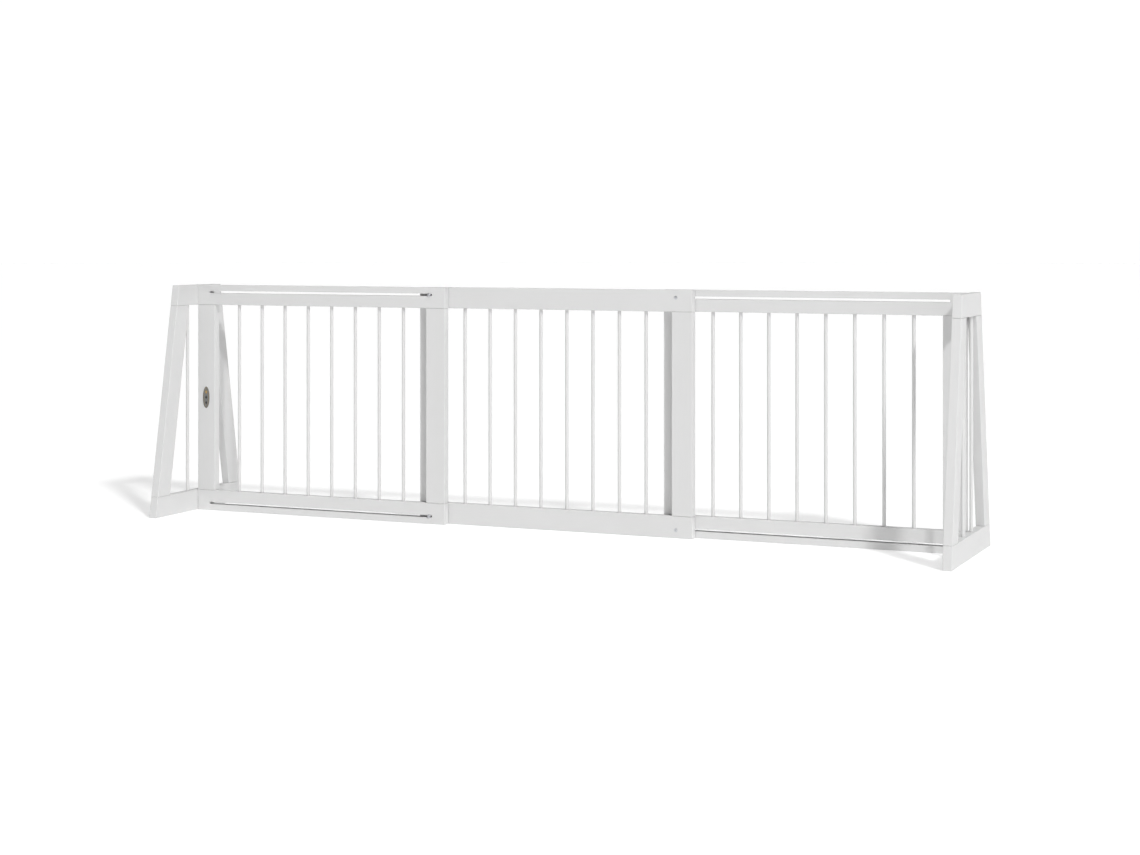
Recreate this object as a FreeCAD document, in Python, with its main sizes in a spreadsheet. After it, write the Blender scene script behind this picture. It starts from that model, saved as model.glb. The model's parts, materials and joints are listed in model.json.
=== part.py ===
import FreeCAD, Part
import math
import os
import Sketcher

# Freestanding wooden pet gate: three equal barred panels lie in layers one behind another and
# slide along each other on bolts that run in long slots. An A-shaped foot stands at each end.
# Frame: millimetres, X along the gate, the front at -Y, Z up. The origin is on the floor, at the
# middle of the extended gate's length and in the feet's mid-plane.

DIMENSIONS = {
    # overall
    "gate_height": 700,           # floor to the top of panels and feet
    "panel_width": 862,           # each panel, along X
    "panel_overlap": 96,          # two neighbouring panels, fully extended
    "layer_gap": 1.5,             # air between two panels
    # boards
    "board_thickness": 25,
    "board_width": 62,
    "edge_radius": 1.5,           # eased edges of every board
    # feet
    "foot_depth": 472,            # along Y, at the floor
    "foot_top_depth": 227,        # along Y, at the top
    "foot_spindle_gap": 10.4,     # a leg's inner top corner to the middle of its spindle
    # spindles
    "spindle_diameter": 10,
    "spindle_count": 8,           # in each panel
    "spindle_seat": 12,           # depth of the blind bore at each end
    "spindle_play": 1,            # empty depth left at a spindle's upper end
    "round_fit": 0.1,             # radial clearance of spindles, dowels, inserts and bolts
    # slide slots and bolts
    "slot_clearance": 0.5,        # above and below a bolt in its slot
    "slot_end_play": 1,           # a flush bolt to its slot's end, fully extended
    "raised_end_play": 6.5,       # a raised bolt to its slot's end, fully extended
    "slot_edge_distance": 22.5,   # outer edge of the rail to the slot's middle
    "slot_end_margin": 42,        # panel's end to the slot's end
    "bolt_diameter": 6,
    "head_clearance": 0.3,        # between sliding hardware and the panel that it slides on
    "button_head_diameter": 11.5,
    "button_head_height": 3.3,
    "bolt_engagement": 13.2,      # length of a button head bolt inside the middle panel
    "bolt_tip_play": 2.8,         # empty depth of its bore behind the bolt
    "sunk_head_diameter": 11.5,
    "bolt_protrusion": 2,         # a flush bolt's tip, out of its nut
    "hex_key_width": 4,
    "hex_key_depth": 1.8,
    "insert_diameter": 9,
    "insert_length": 13,
    "washer_diameter": 14,
    "washer_thickness": 1.2,
    "nut_width": 10,              # across the flats
    "nut_height": 6,
    # dowels
    "dowel_diameter": 8,
    "dowel_seat": 15,             # depth in each board
    "dowel_play": 0.5,            # empty depth left at each end of a dowel
    "dowel_edge_distance": 15,    # a stile's or leg's edge to the middle of its dowel
    "crossing_wall": 1.9,         # wood between dowel bores that cross
    "foot_dowel_spacing": 20,     # between the two dowels of a rail and a foot
    # name plate
    "plate_width": 23,
    "plate_height": 66,
    "plate_thickness": 1.6,
}

PARTS_FOLDER = "parts"

X_AXIS = FreeCAD.Vector(1, 0, 0)
Y_AXIS = FreeCAD.Vector(0, 1, 0)
Z_AXIS = FreeCAD.Vector(0, 0, 1)
NO_TURN = FreeCAD.Rotation()
TURN_OVER = FreeCAD.Rotation(Y_AXIS, 180)       # top rail to bottom rail
TURN_ROUND = FreeCAD.Rotation(Z_AXIS, 180)      # left foot to right foot
UP_TO_BACK = FreeCAD.Rotation(X_AXIS, -90)      # local +Z points at +Y
UP_TO_RIGHT = FreeCAD.Rotation(Y_AXIS, 90)      # local +Z points at +X

doc = FreeCAD.newDocument("PetGate")
sub_parts = []


class Size:
    """A size as a spreadsheet expression, with its present value for first guesses."""

    def __init__(self, text, value):
        self.text = text
        self.value = float(value)

    def __add__(self, other):
        other = as_size(other)
        return Size(f"({self.text} + {other.text})", self.value + other.value)

    def __radd__(self, other):
        return as_size(other) + self

    def __sub__(self, other):
        other = as_size(other)
        return Size(f"({self.text} - {other.text})", self.value - other.value)

    def __rsub__(self, other):
        return as_size(other) - self

    def __mul__(self, other):
        other = as_size(other)
        return Size(f"({self.text} * {other.text})", self.value * other.value)

    def __rmul__(self, other):
        return as_size(other) * self

    def __truediv__(self, other):
        other = as_size(other)
        return Size(f"({self.text} / {other.text})", self.value / other.value)

    def __neg__(self):
        return Size(f"(0 - {self.text})", -self.value)

    def root(self):
        return Size(f"sqrt({self.text})", math.sqrt(self.value))


def as_size(value):
    if isinstance(value, Size):
        return value
    return Size(f"({value:g})", value)


def make_sheet():
    """Puts the driving dimensions in a spreadsheet and returns them as sizes."""
    sheet = doc.addObject("Spreadsheet::Sheet", "dims")
    sizes = {}
    for row, (alias, value) in enumerate(DIMENSIONS.items(), start=1):
        sheet.set(f"A{row}", alias)
        sheet.set(f"B{row}", str(value))
        sheet.setAlias(f"B{row}", alias)
        sizes[alias] = Size(f"dims.{alias}", value)
    doc.recompute()
    return sizes


dim = make_sheet()

# Sizes that follow from the driving dimensions.
height = dim["gate_height"]
width = dim["panel_width"]
thickness = dim["board_thickness"]
board = dim["board_width"]
opening_height = height - 2 * board
inner_width = width - 2 * board
panel_step = width - dim["panel_overlap"]
layer_step = thickness + dim["layer_gap"]
spindle_pitch = inner_width / (dim["spindle_count"] + 1)
spindle_length = opening_height + 2 * dim["spindle_seat"] - dim["spindle_play"]
spindle_bore = dim["spindle_diameter"] + 2 * dim["round_fit"]
dowel_bore = dim["dowel_diameter"] + 2 * dim["round_fit"]
dowel_length = 2 * (dim["dowel_seat"] - dim["dowel_play"])
foot_slope = (dim["foot_depth"] - dim["foot_top_depth"]) / (2 * height)
leg_width = board * (foot_slope * foot_slope + 1).root()
dowel_offset = board / 2 - dim["dowel_edge_distance"]
first_foot_dowel = dim["dowel_seat"] + dim["crossing_wall"] + dowel_bore / 2
foot_dowel_levels = (first_foot_dowel, first_foot_dowel + dim["foot_dowel_spacing"])
cap_level = height - board
foot_spindle_offset = (dim["foot_depth"] / 2 - foot_slope * cap_level
                       - leg_width - dim["foot_spindle_gap"])
slot_height = dim["bolt_diameter"] + 2 * dim["slot_clearance"]
slot_level = board - dim["slot_edge_distance"]
bolt_bore = dim["bolt_diameter"] + 2 * dim["round_fit"]
bolt_end_room = dim["panel_overlap"] - dim["slot_end_margin"] - dim["bolt_diameter"] / 2
sunk_bolt_x = width / 2 - (bolt_end_room - dim["slot_end_play"])
raised_bolt_x = (bolt_end_room - dim["raised_end_play"]) - width / 2
button_bolt_length = thickness + dim["head_clearance"] + dim["layer_gap"] + dim["bolt_engagement"]
insert_bore_depth = dim["bolt_engagement"] + dim["bolt_tip_play"]
sunk_bolt_length = (2 * thickness + dim["layer_gap"] + dim["head_clearance"]
                    + dim["washer_thickness"] + dim["nut_height"] + dim["bolt_protrusion"])


# ---------------------------------------------------------------- building helpers

def bind(thing, name, size):
    """Ties a property to the spreadsheet."""
    thing.setExpression(name, as_size(size).text)


def place(thing, x=0, y=0, z=0, turn=NO_TURN):
    """Turns an object and ties its place to the spreadsheet."""
    spot = [as_size(value) for value in (x, y, z)]
    corner = FreeCAD.Vector(*(size.value for size in spot))
    thing.Placement = FreeCAD.Placement(corner, turn)
    for axis, size in zip("xyz", spot):
        bind(thing, f".Placement.Base.{axis}", size)


def sub_part(thing, label):
    """Names a finished piece; the label also names its file."""
    thing.Label = label
    sub_parts.append(thing)
    return thing


def new_body(name):
    return doc.addObject("PartDesign::Body", name + "_body")


def new_sketch(body, name, plane, offset=None):
    """A sketch on one of the body's own origin planes, or parallel to it."""
    sketch = body.newObject("Sketcher::SketchObject", f"{body.Name}_{name}")
    support = next(item for item in body.Origin.OriginFeatures if item.Role == plane)
    sketch.AttachmentSupport = [(support, "")]
    sketch.MapMode = "FlatFace"
    if offset is not None:
        bind(sketch, ".AttachmentOffset.Base.z", offset)
    return sketch


def hold(sketch, item, point, x, y):
    """Holds a point of a sketch at its distances from the origin."""
    for kind, axis, size in (("DistanceX", -2, as_size(x)), ("DistanceY", -1, as_size(y))):
        if size.value == 0:
            sketch.addConstraint(Sketcher.Constraint("PointOnObject", item, point, axis))
        elif size.value > 0:
            rule = Sketcher.Constraint(kind, -1, 1, item, point, size.value)
            index = sketch.addConstraint(rule)
            bind(sketch, f"Constraints[{index}]", size)
        else:
            rule = Sketcher.Constraint(kind, item, point, -1, 1, -size.value)
            index = sketch.addConstraint(rule)
            bind(sketch, f"Constraints[{index}]", -size)


def draw_outline(sketch, corners):
    """A closed outline of straight lines through the corners."""
    count = len(corners)
    points = [FreeCAD.Vector(as_size(x).value, as_size(y).value, 0) for x, y in corners]
    for index in range(count):
        line = Part.LineSegment(points[index], points[(index + 1) % count])
        sketch.addGeometry(line, False)
    for index in range(count):
        rule = Sketcher.Constraint("Coincident", index, 2, (index + 1) % count, 1)
        sketch.addConstraint(rule)
    for index, (x, y) in enumerate(corners):
        hold(sketch, index, 1, x, y)


def draw_rectangle(sketch, left, right, low, high):
    draw_outline(sketch, [(left, low), (right, low), (right, high), (left, high)])


def draw_circles(sketch, centres, diameter):
    """Equal circles at the given centres."""
    for x, y in centres:
        centre = FreeCAD.Vector(as_size(x).value, as_size(y).value, 0)
        item = sketch.addGeometry(Part.Circle(centre, Z_AXIS, diameter.value / 2), False)
        rule = sketch.addConstraint(Sketcher.Constraint("Diameter", item, diameter.value))
        bind(sketch, f"Constraints[{rule}]", diameter)
        hold(sketch, item, 3, x, y)


def draw_slot(sketch, half_length, level, full_height):
    """A slot with round ends, centred on the sketch's vertical axis at a level above its origin."""
    radius = full_height.value / 2
    reach = half_length.value - radius
    middle = level.value
    left = FreeCAD.Vector(-reach, middle, 0)
    right = FreeCAD.Vector(reach, middle, 0)
    drop = FreeCAD.Vector(0, radius, 0)
    quarter = math.pi / 2
    right_end = Part.ArcOfCircle(Part.Circle(right, Z_AXIS, radius), -quarter, quarter)
    left_end = Part.ArcOfCircle(Part.Circle(left, Z_AXIS, radius), quarter, 3 * quarter)
    sketch.addGeometry(Part.LineSegment(left - drop, right - drop), False)
    sketch.addGeometry(right_end, False)
    sketch.addGeometry(Part.LineSegment(right + drop, left + drop), False)
    sketch.addGeometry(left_end, False)
    for index in range(4):
        rule = Sketcher.Constraint("Tangent", index, 2, (index + 1) % 4, 1)
        sketch.addConstraint(rule)
    sketch.addConstraint(Sketcher.Constraint("Equal", 1, 3))
    rule = sketch.addConstraint(Sketcher.Constraint("Radius", 1, radius))
    bind(sketch, f"Constraints[{rule}]", full_height / 2)
    hold(sketch, 1, 3, half_length - full_height / 2, level)
    hold(sketch, 3, 3, full_height / 2 - half_length, level)


def pad_board(body, sketch, depth):
    """Pads an outline to both sides of its plane and eases every edge."""
    pad = body.newObject("PartDesign::Pad", f"{body.Name}_pad")
    pad.Profile = sketch
    pad.SideType = "Symmetric"
    bind(pad, "Length", depth)
    doc.recompute()
    fillet = body.newObject("PartDesign::Fillet", f"{body.Name}_eased")
    fillet.Base = (pad, [""])
    fillet.UseAllEdges = True
    bind(fillet, "Radius", dim["edge_radius"])
    doc.recompute()


def check_cut(body, feature, before):
    """Stops the build when a cut has removed nothing."""
    doc.recompute()
    if feature.Shape.isNull() or feature.Shape.Volume > before - 1:
        raise RuntimeError(f"{feature.Name} cuts nothing from {body.Label}")


def cut_blind(body, sketch, depth, forwards):
    """Pockets a sketch to a depth; forwards cuts along the sketch's own normal."""
    before = body.Tip.Shape.Volume
    pocket = body.newObject("PartDesign::Pocket", f"{sketch.Name}_cut")
    pocket.Profile = sketch
    pocket.Type = "Length"
    pocket.Reversed = forwards
    bind(pocket, "Length", depth)
    check_cut(body, pocket, before)
    return pocket


def cut_through(body, sketch):
    """Pockets a sketch right through the board, to both sides of its plane."""
    before = body.Tip.Shape.Volume
    pocket = body.newObject("PartDesign::Pocket", f"{sketch.Name}_cut")
    pocket.Profile = sketch
    pocket.Type = "ThroughAll"
    pocket.SideType = "Symmetric"
    check_cut(body, pocket, before)
    return pocket


def cylinder(name, diameter, length, **spot):
    """A round bar that stands on its place, along its own +Z."""
    bar = doc.addObject("Part::Cylinder", name)
    bind(bar, "Radius", as_size(diameter) / 2)
    bind(bar, "Height", length)
    place(bar, **spot)
    return bar


def cone(name, first_diameter, second_diameter, length, **spot):
    taper = doc.addObject("Part::Cone", name)
    bind(taper, "Radius1", as_size(first_diameter) / 2)
    bind(taper, "Radius2", as_size(second_diameter) / 2)
    bind(taper, "Height", length)
    place(taper, **spot)
    return taper


def hexagon(name, across_flats, length, **spot):
    """A six-sided bar that stands on its place, along its own +Z."""
    prism = doc.addObject("Part::Prism", name)
    prism.Polygon = 6
    bind(prism, "Circumradius", as_size(across_flats) / math.sqrt(3))
    bind(prism, "Height", length)
    place(prism, **spot)
    return prism


def joined(name, base, tool):
    result = doc.addObject("Part::Fuse", name)
    result.Base = base
    result.Tool = tool
    return result


def cut(name, base, tool):
    result = doc.addObject("Part::Cut", name)
    result.Base = base
    result.Tool = tool
    return result


def group(label, pieces):
    """Equal loose pieces that share one node."""
    compound = doc.addObject("Part::Compound", label + "_group")
    compound.Links = pieces
    return sub_part(compound, label)


# ---------------------------------------------------------------- panels

def rail_spindle_bores(body):
    """Blind bores for the spindles along the rail's inner edge."""
    sketch = new_sketch(body, "spindle_bore", "XY_Plane")
    draw_circles(sketch, [(spindle_pitch - inner_width / 2, 0)], spindle_bore)
    first = cut_blind(body, sketch, dim["spindle_seat"], True)
    one_bore = body.Tip.Shape.Volume
    row = body.newObject("PartDesign::LinearPattern", f"{body.Name}_bore_row")
    row.Originals = [first]
    row.Direction = (sketch, ["H_Axis"])
    bind(row, "Length", spindle_pitch * (dim["spindle_count"] - 1))
    bind(row, "Occurrences", dim["spindle_count"])
    body.Tip = row
    check_cut(body, row, one_bore)


def rail_stile_dowel_bores(body):
    """Two dowel bores for each stile, in the rail's inner edge."""
    stile_x = (width - board) / 2
    centres = []
    for side in (-1, 1):
        for step in (-1, 1):
            centres.append((side * stile_x + step * dowel_offset, 0))
    sketch = new_sketch(body, "stile_dowels", "XY_Plane")
    draw_circles(sketch, centres, dowel_bore)
    cut_blind(body, sketch, dim["dowel_seat"], True)


def rail_foot_dowel_bores(body, end):
    """Two dowel bores in the rail's end that meets a foot."""
    sketch = new_sketch(body, "foot_dowels", "YZ_Plane", end * (width / 2))
    draw_circles(sketch, [(0, level) for level in foot_dowel_levels], dowel_bore)
    cut_blind(body, sketch, dim["dowel_seat"], end < 0)


def rail_slide_slot(body):
    """The long slot that a slide bolt runs in."""
    sketch = new_sketch(body, "slide_slot", "XZ_Plane")
    half_length = width / 2 - dim["slot_end_margin"]
    draw_slot(sketch, half_length, slot_level, slot_height)
    cut_through(body, sketch)


def rail_insert_bore(body, x):
    """A blind bore in the rail's front face, for a threaded insert."""
    diameter = dim["insert_diameter"] + 2 * dim["round_fit"]
    sketch = new_sketch(body, "insert_bore", "XZ_Plane", thickness / 2)
    draw_circles(sketch, [(x, slot_level)], diameter)
    cut_blind(body, sketch, insert_bore_depth, False)


def rail_sunk_hole(body, x):
    """A through hole with a cone for a flush bolt head in the rail's front face."""
    sketch = new_sketch(body, "bolt_hole", "XZ_Plane")
    draw_circles(sketch, [(x, slot_level)], bolt_bore)
    cut_through(body, sketch)
    before = body.Tip.Shape.Volume
    mouth = body.newObject("PartDesign::SubtractiveCone", f"{body.Name}_sink")
    wide = dim["sunk_head_diameter"] + 2 * dim["round_fit"]
    bind(mouth, "Radius1", wide / 2)
    bind(mouth, "Radius2", bolt_bore / 2)
    bind(mouth, "Height", (wide - bolt_bore) / 2)
    place(mouth, x, -thickness / 2, slot_level, UP_TO_BACK)
    check_cut(body, mouth, before)


def make_rail(panel, step, layer, level):
    """A full-width rail. Its own frame has the inner edge at z = 0 and the board above it."""
    top = level == "top"
    side = 1 if top else -1
    label = f"{panel}_{level}_rail"
    body = new_body(label)
    outline = new_sketch(body, "outline", "XZ_Plane")
    draw_rectangle(outline, -width / 2, width / 2, 0, board)
    pad_board(body, outline, thickness)
    rail_spindle_bores(body)
    rail_stile_dowel_bores(body)
    if step == 0:
        rail_insert_bore(body, side * raised_bolt_x)
        rail_sunk_hole(body, side * sunk_bolt_x)
    else:
        rail_slide_slot(body)
        rail_foot_dowel_bores(body, side * step)
    inner_edge = cap_level if top else board
    place(body, step * panel_step, layer * layer_step, inner_edge, NO_TURN if top else TURN_OVER)
    return sub_part(body, label)


def make_stile(panel, step, layer, end, side):
    """An upright between the rails. Its own frame is centred in the board."""
    label = f"{panel}_{end}_stile"
    body = new_body(label)
    outline = new_sketch(body, "outline", "XZ_Plane")
    draw_rectangle(outline, -board / 2, board / 2, -opening_height / 2, opening_height / 2)
    pad_board(body, outline, thickness)
    centres = [(turn * dowel_offset, 0) for turn in (-1, 1)]
    half_height = opening_height / 2
    for name, face, forwards in (("foot", -half_height, True), ("head", half_height, False)):
        sketch = new_sketch(body, name + "_dowels", "XY_Plane", face)
        draw_circles(sketch, centres, dowel_bore)
        cut_blind(body, sketch, dim["dowel_seat"], forwards)
    x = step * panel_step + side * (width - board) / 2
    place(body, x, layer * layer_step, height / 2)
    return sub_part(body, label)


def make_spindle(label, x, y):
    bar = cylinder(label + "_bar", dim["spindle_diameter"], spindle_length,
                   x=x, y=y, z=board - dim["spindle_seat"])
    return sub_part(bar, label)


def make_panel(panel, step, layer):
    for level in ("top", "bottom"):
        make_rail(panel, step, layer, level)
    for end, side in (("left", -1), ("right", 1)):
        make_stile(panel, step, layer, end, side)
    for number in range(1, DIMENSIONS["spindle_count"] + 1):
        x = step * panel_step - inner_width / 2 + number * spindle_pitch
        make_spindle(f"{panel}_spindle_{number}", x, layer * layer_step)


# ---------------------------------------------------------------- feet

def half_depth(level):
    """Half of a foot's outer depth at a height above the floor."""
    return dim["foot_depth"] / 2 - foot_slope * level


def make_crosspiece(label, low, high, panel_y, faces_up, x, turn):
    """A foot's cap or foot rail: a trapezoid board between two heights."""
    body = new_body(label)
    outline = new_sketch(body, "outline", "YZ_Plane")
    draw_outline(outline, [(-half_depth(low), low), (half_depth(low), low),
                           (half_depth(high), high), (-half_depth(high), high)])
    pad_board(body, outline, thickness)
    joint = high if faces_up else low
    spindles = new_sketch(body, "spindle_bores", "XY_Plane", joint)
    offset = foot_spindle_offset
    draw_circles(spindles, [(0, -offset), (0, offset)], spindle_bore)
    cut_blind(body, spindles, dim["spindle_seat"], not faces_up)
    leg_middle = half_depth(joint) - leg_width / 2
    centres = []
    for side in (-1, 1):
        for step in (-1, 1):
            centres.append((0, side * leg_middle + step * dowel_offset))
    legs = new_sketch(body, "leg_dowels", "XY_Plane", joint)
    draw_circles(legs, centres, dowel_bore)
    cut_blind(body, legs, dim["dowel_seat"], not faces_up)
    panel = new_sketch(body, "panel_dowels", "YZ_Plane", thickness / 2)
    inwards = -1 if faces_up else 1
    centres = [(panel_y, joint + inwards * level) for level in foot_dowel_levels]
    draw_circles(panel, centres, dowel_bore)
    cut_blind(body, panel, dim["dowel_seat"], False)
    place(body, x, 0, 0, turn)
    return sub_part(body, label)


def make_leg(label, side, x, turn):
    """A leaning leg between the foot rail and the cap; side is -1 or 1 along the foot's own Y."""
    body = new_body(label)
    low = board
    high = cap_level
    outline = new_sketch(body, "outline", "YZ_Plane")
    corners = [(half_depth(low), low), (half_depth(high), high),
               (half_depth(high) - leg_width, high), (half_depth(low) - leg_width, low)]
    draw_outline(outline, [(side * y, z) for y, z in corners])
    pad_board(body, outline, thickness)
    for name, level, forwards in (("foot", low, True), ("head", high, False)):
        middle = half_depth(level) - leg_width / 2
        centres = [(0, side * middle + step * dowel_offset) for step in (-1, 1)]
        sketch = new_sketch(body, name + "_dowels", "XY_Plane", level)
        draw_circles(sketch, centres, dowel_bore)
        cut_blind(body, sketch, dim["dowel_seat"], forwards)
    place(body, x, 0, 0, turn)
    return sub_part(body, label)


def make_foot(foot, end, panel_y):
    """An A-shaped foot; its own +X faces the panels."""
    turn = NO_TURN if end < 0 else TURN_ROUND
    own_side = -end
    x = end * (panel_step + width / 2 + thickness / 2)
    own_panel_y = own_side * panel_y
    make_crosspiece(f"{foot}_foot_cap", cap_level, height, own_panel_y, False, x, turn)
    make_crosspiece(f"{foot}_foot_rail", as_size(0), board, own_panel_y, True, x, turn)
    for name, side in (("front", -1), ("rear", 1)):
        make_leg(f"{foot}_foot_{name}_leg", own_side * side, x, turn)
        make_spindle(f"{foot}_foot_{name}_spindle", x, side * foot_spindle_offset)


# ---------------------------------------------------------------- dowels

def dowel(name, x, y, z, turn):
    """A dowel centred on a joint; the offset undoes the bar's start at its own z = 0."""
    half = dowel_length / 2
    if turn is UP_TO_RIGHT:
        return cylinder(name, dim["dowel_diameter"], dowel_length, x=x - half, y=y, z=z, turn=turn)
    return cylinder(name, dim["dowel_diameter"], dowel_length, x=x, y=y, z=z - half, turn=turn)


def panel_dowels(panel, step, layer):
    """Two upright dowels at each of a panel's four stile joints."""
    pieces = []
    for level, z in (("lower", board), ("upper", cap_level)):
        for side in (-1, 1):
            for turn in (-1, 1):
                x = step * panel_step + side * (width - board) / 2 + turn * dowel_offset
                name = f"{panel}_{level}_dowel"
                pieces.append(dowel(name, x, layer * layer_step, z, NO_TURN))
    return pieces


def foot_dowels(foot, end, panel_y):
    """Dowels from the legs to the cap and foot rail, and from the panel's rails to the foot."""
    pieces = []
    foot_x = end * (panel_step + width / 2 + thickness / 2)
    joint_x = end * (panel_step + width / 2)
    for level, joint in (("lower", board), ("upper", cap_level)):
        leg_middle = half_depth(joint) - leg_width / 2
        for side in (-1, 1):
            for turn in (-1, 1):
                y = side * leg_middle + turn * dowel_offset
                pieces.append(dowel(f"{foot}_{level}_leg_dowel", foot_x, y, joint, NO_TURN))
    for level, joint, inwards in (("lower", board, -1), ("upper", cap_level, 1)):
        for depth in foot_dowel_levels:
            name = f"{foot}_{level}_panel_dowel"
            pieces.append(dowel(name, joint_x, panel_y, joint + inwards * depth, UP_TO_RIGHT))
    return pieces


# ---------------------------------------------------------------- slide hardware

BOLT_LEVELS = (("lower", dim["slot_edge_distance"]), ("upper", height - dim["slot_edge_distance"]))
middle_front = layer_step - thickness / 2
middle_back = layer_step + thickness / 2
front_face = -thickness / 2
rear_face = 2 * layer_step + thickness / 2


def make_button_bolts():
    """Domed bolts through the front panel's slots, screwed into the middle panel."""
    bolts = []
    head_seat = front_face - dim["head_clearance"]
    head_height = dim["button_head_height"]
    head_radius = dim["button_head_diameter"] / 2
    dome_radius = (head_radius * head_radius + head_height * head_height) / (2 * head_height)
    shank_root = head_height / 3    # how far the shank reaches into the head
    # The blank is wider and longer than the head, so that only its seat face cuts the ball.
    for level, z in BOLT_LEVELS:
        name = f"button_bolt_{level}"
        dome = doc.addObject("Part::Sphere", name + "_ball")
        bind(dome, "Radius", dome_radius)
        place(dome, raised_bolt_x, head_seat - head_height + dome_radius, z)
        blank = cylinder(name + "_blank", 2 * dome_radius, 2 * head_height,
                         x=raised_bolt_x, y=head_seat - 2 * head_height, z=z, turn=UP_TO_BACK)
        head = doc.addObject("Part::Common", name + "_head")
        head.Base = dome
        head.Tool = blank
        shank = cylinder(name + "_shank", dim["bolt_diameter"],
                         button_bolt_length + shank_root,
                         x=raised_bolt_x, y=head_seat - shank_root, z=z, turn=UP_TO_BACK)
        socket = hexagon(name + "_socket", dim["hex_key_width"], dim["hex_key_depth"],
                         x=raised_bolt_x, y=head_seat - head_height, z=z, turn=UP_TO_BACK)
        bolts.append(cut(name, joined(name + "_solid", head, shank), socket))
    group("front_slide_bolts", bolts)


def make_inserts():
    """Threaded inserts in the middle panel, just below its front face."""
    inserts = []
    for level, z in BOLT_LEVELS:
        name = f"insert_{level}"
        spot = {"x": raised_bolt_x, "y": middle_front + dim["head_clearance"], "z": z,
                "turn": UP_TO_BACK}
        sleeve = cylinder(name + "_sleeve", dim["insert_diameter"], dim["insert_length"], **spot)
        thread = cylinder(name + "_thread", bolt_bore, dim["insert_length"], **spot)
        inserts.append(cut(name, sleeve, thread))
    group("threaded_inserts", inserts)


def make_sunk_bolts():
    """Flush bolts through the middle panel and the rear panel's slots."""
    bolts = []
    head_height = (dim["sunk_head_diameter"] - dim["bolt_diameter"]) / 2
    for level, z in BOLT_LEVELS:
        name = f"sunk_bolt_{level}"
        spot = {"x": sunk_bolt_x, "y": middle_front, "z": z, "turn": UP_TO_BACK}
        head = cone(name + "_head", dim["sunk_head_diameter"], dim["bolt_diameter"], head_height, **spot)
        shank = cylinder(name + "_shank", dim["bolt_diameter"], sunk_bolt_length, **spot)
        socket = hexagon(name + "_socket", dim["hex_key_width"], dim["hex_key_depth"], **spot)
        bolts.append(cut(name, joined(name + "_solid", head, shank), socket))
    group("rear_slide_bolts", bolts)


def make_ring(name, diameter, thick, x, y, z):
    outer = cylinder(name + "_disc", diameter, thick, x=x, y=y, z=z, turn=UP_TO_BACK)
    inner = cylinder(name + "_eye", bolt_bore, thick, x=x, y=y, z=z, turn=UP_TO_BACK)
    return cut(name, outer, inner)


def make_washers():
    """Spacers in the two layer gaps, and steel washers and lock nuts behind the rear panel."""
    spacers = []
    washers = []
    nuts = []
    spacer_thickness = dim["layer_gap"] - dim["head_clearance"]
    washer_y = rear_face + dim["head_clearance"]
    nut_y = washer_y + dim["washer_thickness"]
    for level, z in BOLT_LEVELS:
        spacers.append(make_ring(f"front_spacer_{level}", dim["washer_diameter"], spacer_thickness,
                                 raised_bolt_x, middle_front - spacer_thickness, z))
        spacers.append(make_ring(f"rear_spacer_{level}", dim["washer_diameter"], spacer_thickness,
                                 sunk_bolt_x, middle_back, z))
        washers.append(make_ring(f"washer_{level}", dim["washer_diameter"], dim["washer_thickness"],
                                 sunk_bolt_x, washer_y, z))
        spot = {"x": sunk_bolt_x, "y": nut_y, "z": z, "turn": UP_TO_BACK}
        blank = hexagon(f"nut_{level}_blank", dim["nut_width"], dim["nut_height"], **spot)
        thread = cylinder(f"nut_{level}_thread", bolt_bore, dim["nut_height"], **spot)
        nuts.append(cut(f"nut_{level}", blank, thread))
    group("spacer_washers", spacers)
    group("slide_washers", washers)
    group("slide_nuts", nuts)


# ---------------------------------------------------------------- name plate

def make_plate():
    """A plain oval plate on the front panel's outer stile, at half height."""
    body = new_body("name_plate")
    sketch = new_sketch(body, "oval", "XZ_Plane")
    half_width = dim["plate_width"] / 2
    half_height = dim["plate_height"] / 2
    oval = Part.Ellipse(FreeCAD.Vector(0, half_height.value, 0),
                        FreeCAD.Vector(half_width.value, 0, 0), FreeCAD.Vector(0, 0, 0))
    item = sketch.addGeometry(oval, False)
    sketch.exposeInternalGeometry(item)
    long_axis = item + 1
    short_axis = item + 2
    sketch.addConstraint(Sketcher.Constraint("Coincident", item, 3, -1, 1))
    sketch.addConstraint(Sketcher.Constraint("Vertical", long_axis))
    for axis, size in ((long_axis, dim["plate_height"]), (short_axis, dim["plate_width"])):
        rule = sketch.addConstraint(Sketcher.Constraint("Distance", axis, size.value))
        bind(sketch, f"Constraints[{rule}]", size)
    pad = body.newObject("PartDesign::Pad", "name_plate_pad")
    pad.Profile = sketch
    bind(pad, "Length", dim["plate_thickness"])
    place(body, -panel_step - (width - board) / 2, front_face, height / 2)
    return sub_part(body, "name_plate")


# ---------------------------------------------------------------- the whole gate

PANELS = (("front", -1, 0), ("middle", 0, 1), ("rear", 1, 2))

for panel, step, layer in PANELS:
    make_panel(panel, step, layer)
make_foot("left", -1, as_size(0))
make_foot("right", 1, 2 * layer_step)
group("front_section_dowels", panel_dowels("front", -1, 0) + foot_dowels("left", -1, as_size(0)))
group("middle_section_dowels", panel_dowels("middle", 0, 1))
group("rear_section_dowels", panel_dowels("rear", 1, 2) + foot_dowels("right", 1, 2 * layer_step))
make_button_bolts()
make_inserts()
make_sunk_bolts()
make_washers()
make_plate()
doc.recompute()


def check_document():
    """Stops before anything is written when a feature or a piece has failed."""
    faults = []
    for thing in doc.Objects:
        if "Invalid" in thing.State or "Error" in thing.State:
            faults.append(f"{thing.Label}: {thing.State}")
    for thing in sub_parts:
        if thing.Shape.isNull() or not thing.Shape.isValid() or not thing.Shape.Solids:
            faults.append(f"{thing.Label}: no valid solid")
    if faults:
        raise RuntimeError("; ".join(faults))


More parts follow.
